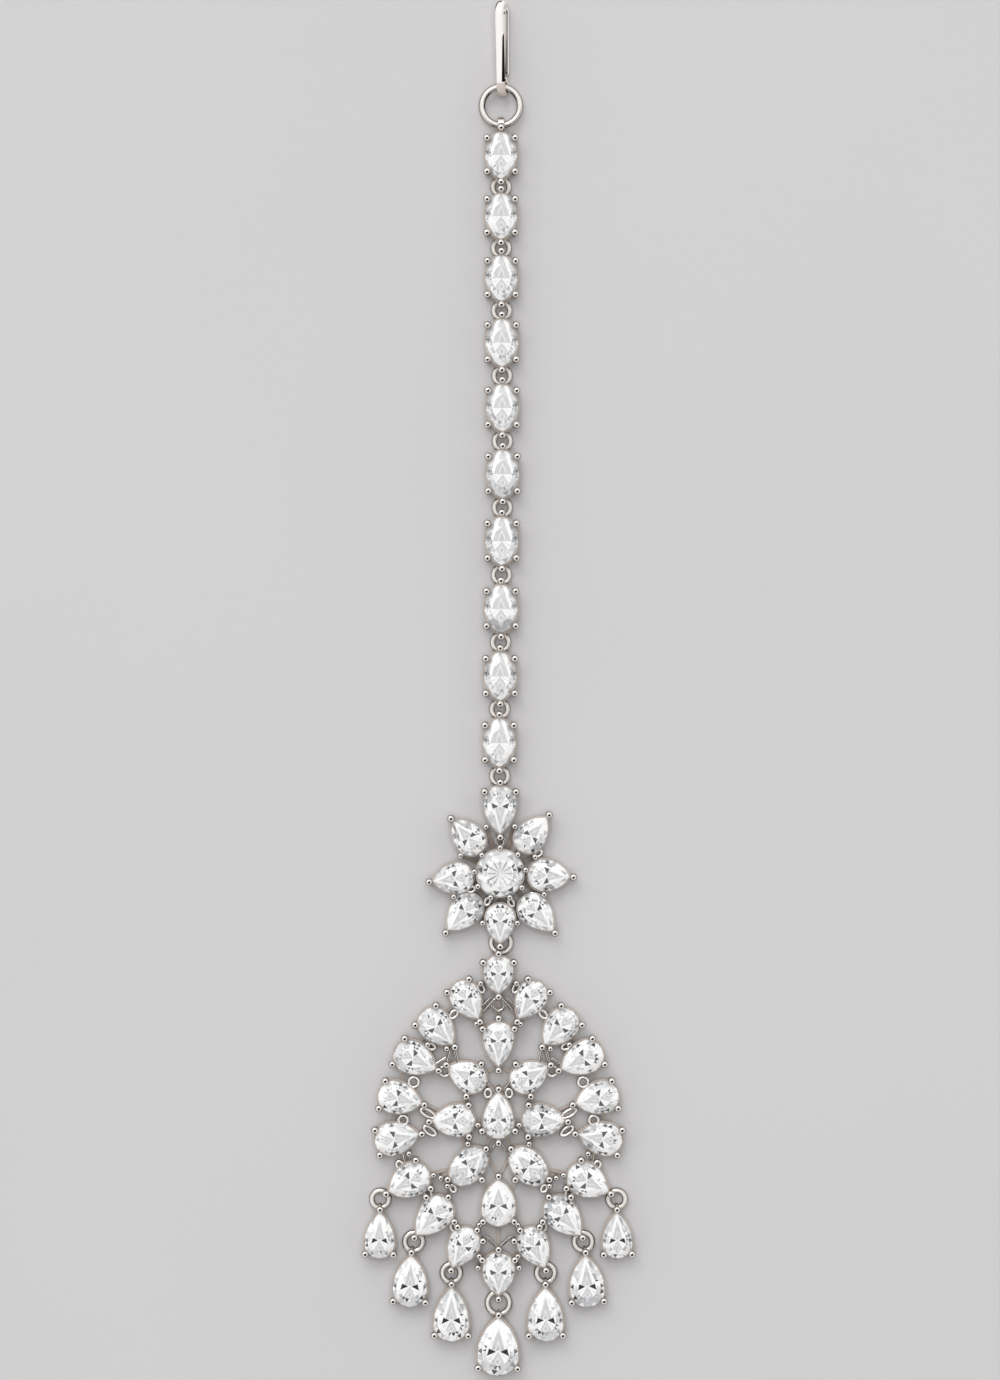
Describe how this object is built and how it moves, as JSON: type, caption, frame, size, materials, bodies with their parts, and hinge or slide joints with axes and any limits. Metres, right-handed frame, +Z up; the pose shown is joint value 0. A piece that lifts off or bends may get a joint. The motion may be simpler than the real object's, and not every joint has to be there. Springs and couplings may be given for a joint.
{
  "type": "maang tikka",
  "caption": "Long maang tikka for the hair parting: hair hook, chain of oval stone links, flower, leaf-shaped fan of pear stones and hanging pear drops.",
  "frame": {"origin": "on the surface the jewel lies on, under the middle of its bounding box", "axes": "+Z up from the surface, out of the stones' faces; +Y up the jewel, from the drops to the hair hook; +X to the right seen from above"},
  "size_m": [0.0328, 0.1644, 0.0034],
  "materials": {
    "metal": "rhodium-plated brass, polished",
    "stone": "colourless cut cubic zirconia"
  },
  "bodies": {
    "root": {"hook": "metal", "hook_ring": "metal", "chain_setting_01": "metal", "chain_stone_01": "stone", "chain_setting_02": "metal", "chain_stone_02": "stone", "chain_setting_03": "metal", "chain_stone_03": "stone", "chain_setting_04": "metal", "chain_stone_04": "stone", "chain_setting_05": "metal", "chain_stone_05": "stone", "chain_setting_06": "metal", "chain_stone_06": "stone", "chain_setting_07": "metal", "chain_stone_07": "stone", "chain_setting_08": "metal", "chain_stone_08": "stone", "chain_setting_09": "metal", "chain_stone_09": "stone", "chain_setting_10": "metal", "chain_stone_10": "stone", "chain_rings": "metal", "flower_setting": "metal", "flower_centre_stone": "stone", "flower_petal_stone_1": "stone", "flower_petal_stone_2": "stone", "flower_petal_stone_3": "stone", "flower_petal_stone_4": "stone", "flower_petal_stone_5": "stone", "flower_petal_stone_6": "stone", "flower_petal_stone_7": "stone", "flower_petal_stone_8": "stone", "fan_ring": "metal", "fan_frame": "metal", "fan_stones_outer": "stone", "fan_stones_inner": "stone", "drop_setting_1": "metal", "drop_stone_1": "stone", "drop_setting_2": "metal", "drop_stone_2": "stone", "drop_setting_3": "metal", "drop_stone_3": "stone", "drop_setting_4": "metal", "drop_stone_4": "stone", "drop_setting_5": "metal", "drop_stone_5": "stone", "drop_setting_6": "metal", "drop_stone_6": "stone", "drop_setting_7": "metal", "drop_stone_7": "stone", "drop_rings": "metal"}
  },
  "joints": []
}
